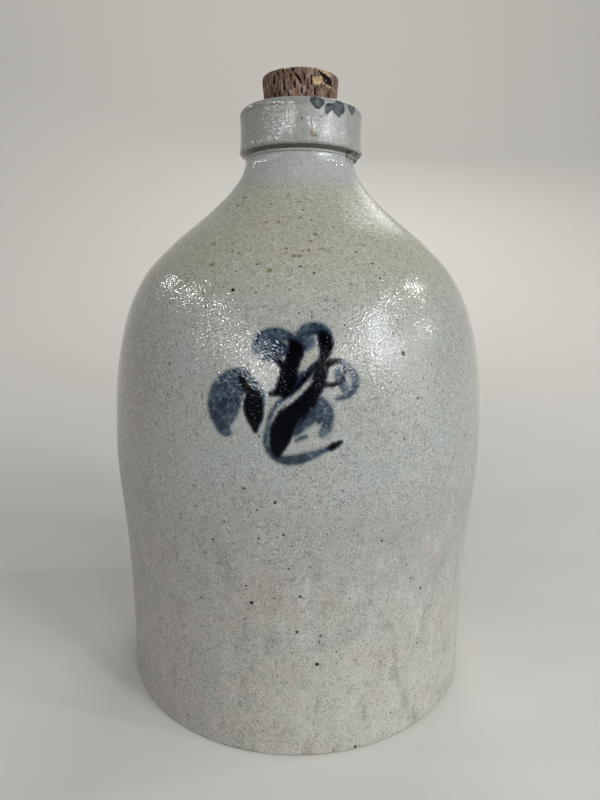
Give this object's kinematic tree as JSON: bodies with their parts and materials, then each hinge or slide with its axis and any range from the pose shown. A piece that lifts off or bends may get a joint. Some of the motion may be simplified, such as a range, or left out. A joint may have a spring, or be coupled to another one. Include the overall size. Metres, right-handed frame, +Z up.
{
  "type": "stoneware jug",
  "caption": "Salt-glazed stoneware jug with straight wall, round shoulder, thick collar, strap handle behind, brushed cobalt flower in front and a tapered cork that lifts out.",
  "frame": {"origin": "centre of the flat base, on the table", "axes": "+Z up along the axis it was thrown on; -Y is the decorated front; +Y is the side of the strap handle; +X is to the right as seen from the front"},
  "size_m": [0.2264, 0.2264, 0.359],
  "materials": {
    "salt_glazed_stoneware": "satin gloss",
    "cork": "matte"
  },
  "bodies": {
    "jug": {"jug_body": "salt_glazed_stoneware", "strap_handle": "salt_glazed_stoneware"},
    "stopper": {"cork_stopper": "cork"}
  },
  "joints": [
    {"name": "stopper_lift", "type": "slide", "parent": "jug", "child": "stopper", "axis": [0, 0, 1], "range_m": [0, 0.08]}
  ]
}
